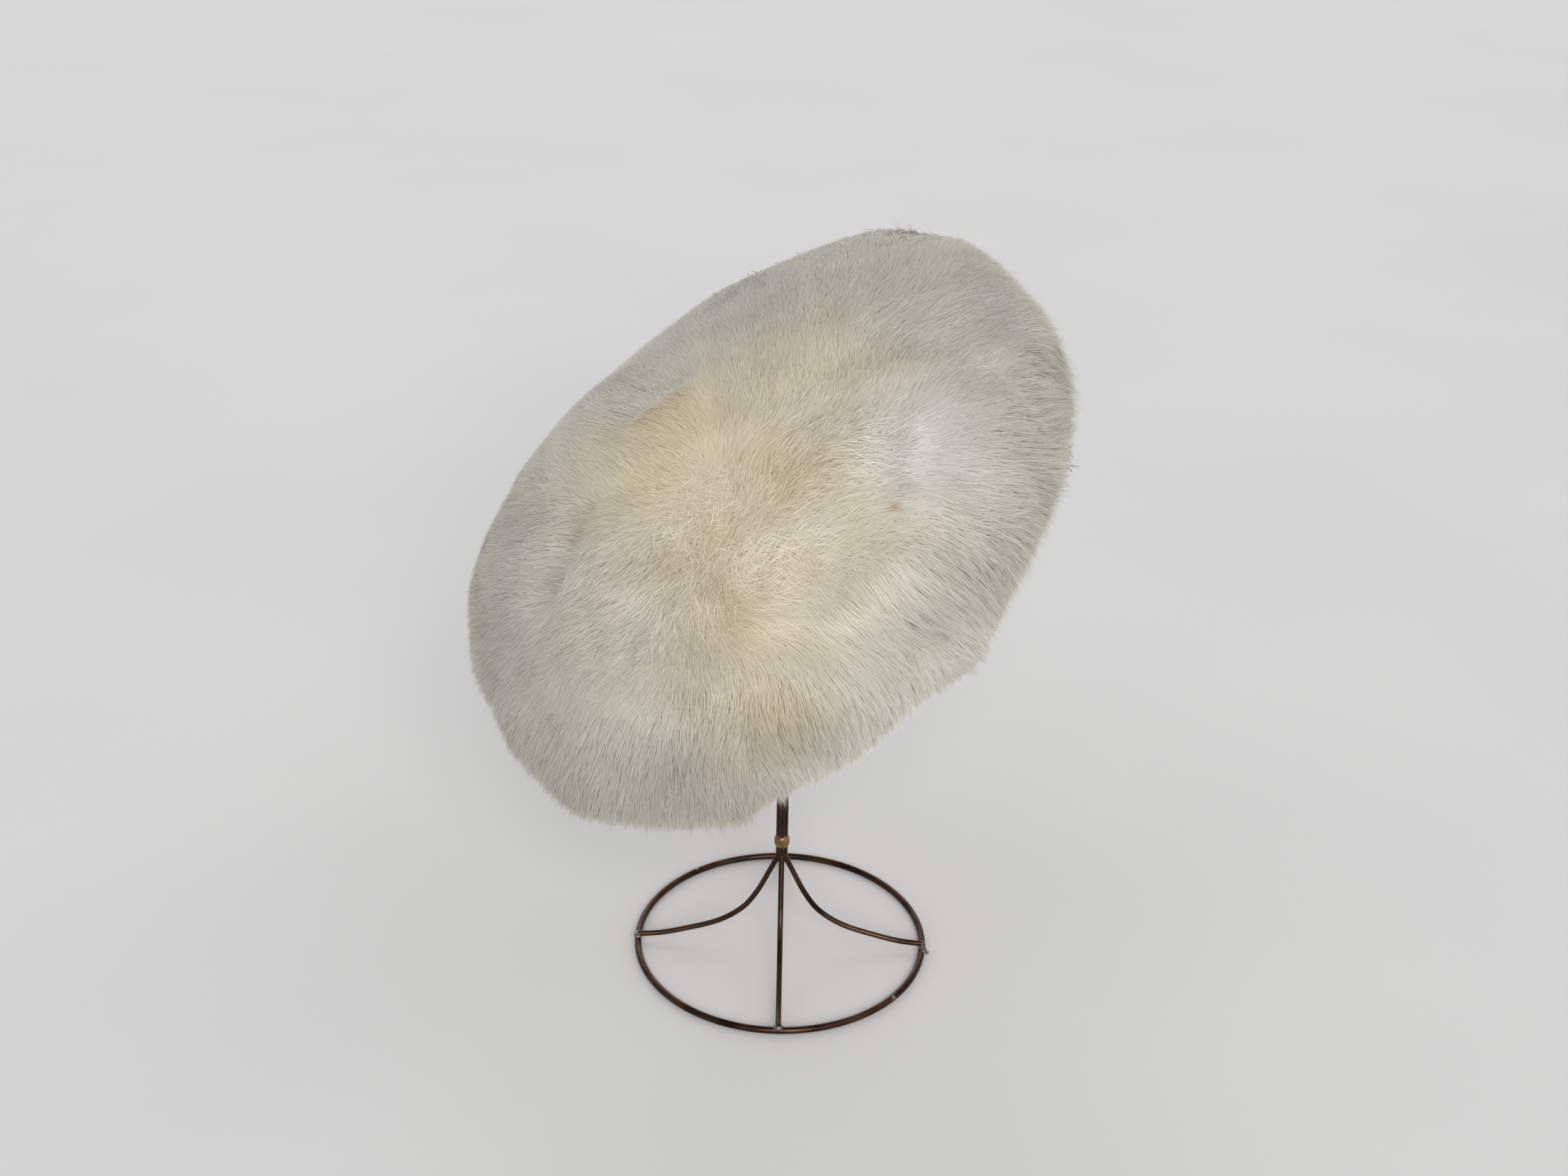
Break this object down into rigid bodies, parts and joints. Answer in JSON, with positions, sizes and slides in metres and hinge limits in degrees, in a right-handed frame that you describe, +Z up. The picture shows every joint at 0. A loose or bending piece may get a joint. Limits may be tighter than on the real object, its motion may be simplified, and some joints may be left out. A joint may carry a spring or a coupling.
{
  "type": "turkmen telpek hat on a wire hat stand",
  "caption": "Round fleece hat of cream sheepskin, leather walled and open below, tilted on a dark bronzed wire stand with a ring foot, sprung legs and a hooped top.",
  "frame": {"origin": "on the surface that the stand rests on, under the middle of the whole part's bounding box", "axes": "+Z up, -Y towards the viewer of the picture, +X to that viewer's right"},
  "size_m": [0.2548, 0.2758, 0.3286],
  "materials": {
    "crown_wool": "dense cream sheep's wool, yellowed",
    "band_wool": "long straight off-white wool",
    "pelt_leather": "undyed sheepskin, flesh side",
    "bronzed_wire": "dark bronzed steel wire"
  },
  "bodies": {
    "root": {"band_fleece": "band_wool", "crown_fleece": "crown_wool", "band_pelt": "pelt_leather", "crown_pelt": "pelt_leather", "stand_base": "bronzed_wire", "stand_top": "bronzed_wire"}
  },
  "joints": []
}
